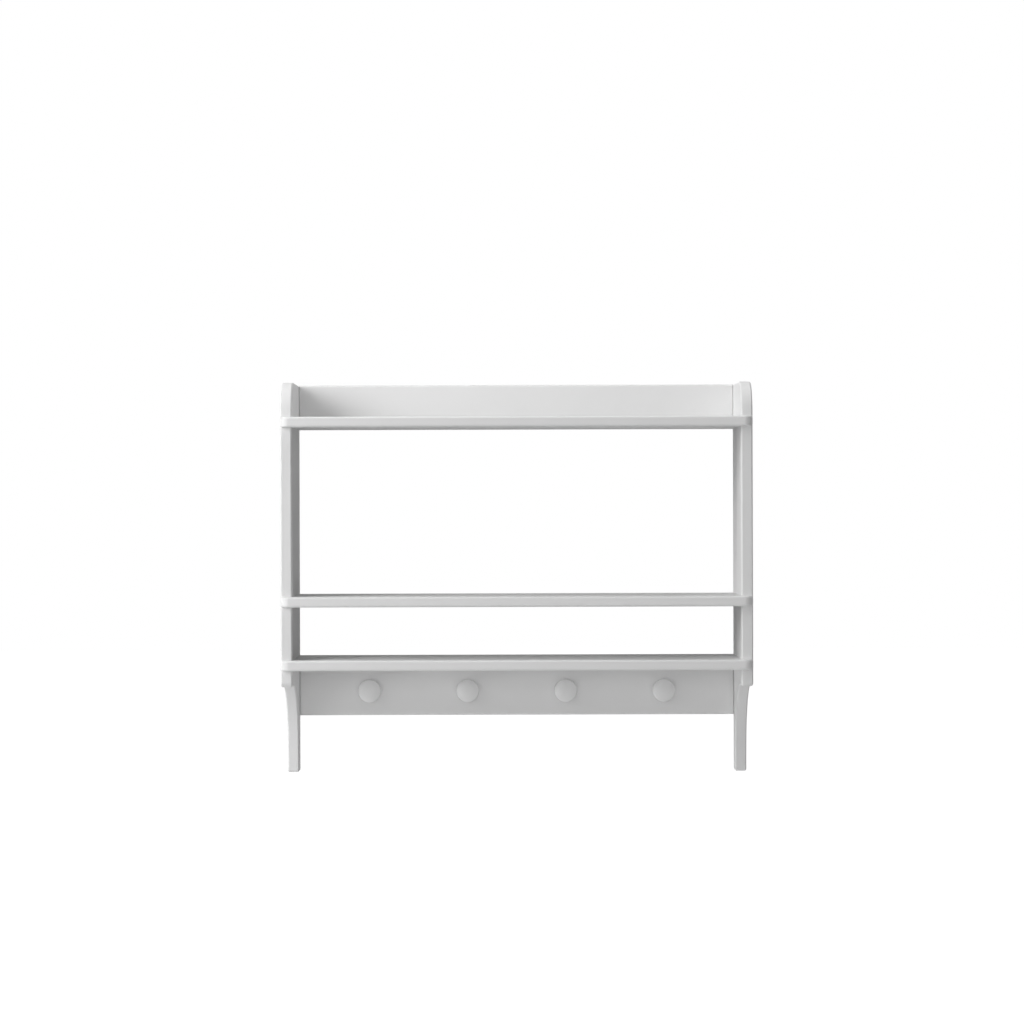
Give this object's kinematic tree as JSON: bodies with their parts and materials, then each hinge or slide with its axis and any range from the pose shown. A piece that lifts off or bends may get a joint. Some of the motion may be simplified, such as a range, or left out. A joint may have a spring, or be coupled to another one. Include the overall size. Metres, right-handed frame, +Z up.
{
  "type": "wall shelf with peg rail",
  "caption": "White painted wall shelf: boards between shaped side panels, a low back board on top and a rail of round pegs below.",
  "frame": {"origin": "on the wall plane, midway between the centres of the round entry holes of the two keyhole plates", "axes": "+X to the right seen from the front, +Y into the wall, +Z up"},
  "size_m": [0.73, 0.186, 0.616],
  "materials": {
    "painted_side_panel": "satin white paint on MDF, arrises rounded",
    "painted_shelf_board": "satin white paint on MDF, arrises rounded",
    "painted_back_board": "satin white paint on MDF, arrises rounded",
    "painted_turned_peg": "satin white paint on turned hardwood",
    "zinc_plated_plate": "zinc plated, pressed"
  },
  "bodies": {
    "root": {"left_side_panel": "painted_side_panel", "right_side_panel": "painted_side_panel", "top_shelf": "painted_shelf_board", "middle_shelf": "painted_shelf_board", "bottom_shelf": "painted_shelf_board", "upper_back_board": "painted_back_board", "peg_rail": "painted_back_board", "pegs": "painted_turned_peg", "left_keyhole_plate": "zinc_plated_plate", "right_keyhole_plate": "zinc_plated_plate"}
  },
  "joints": []
}
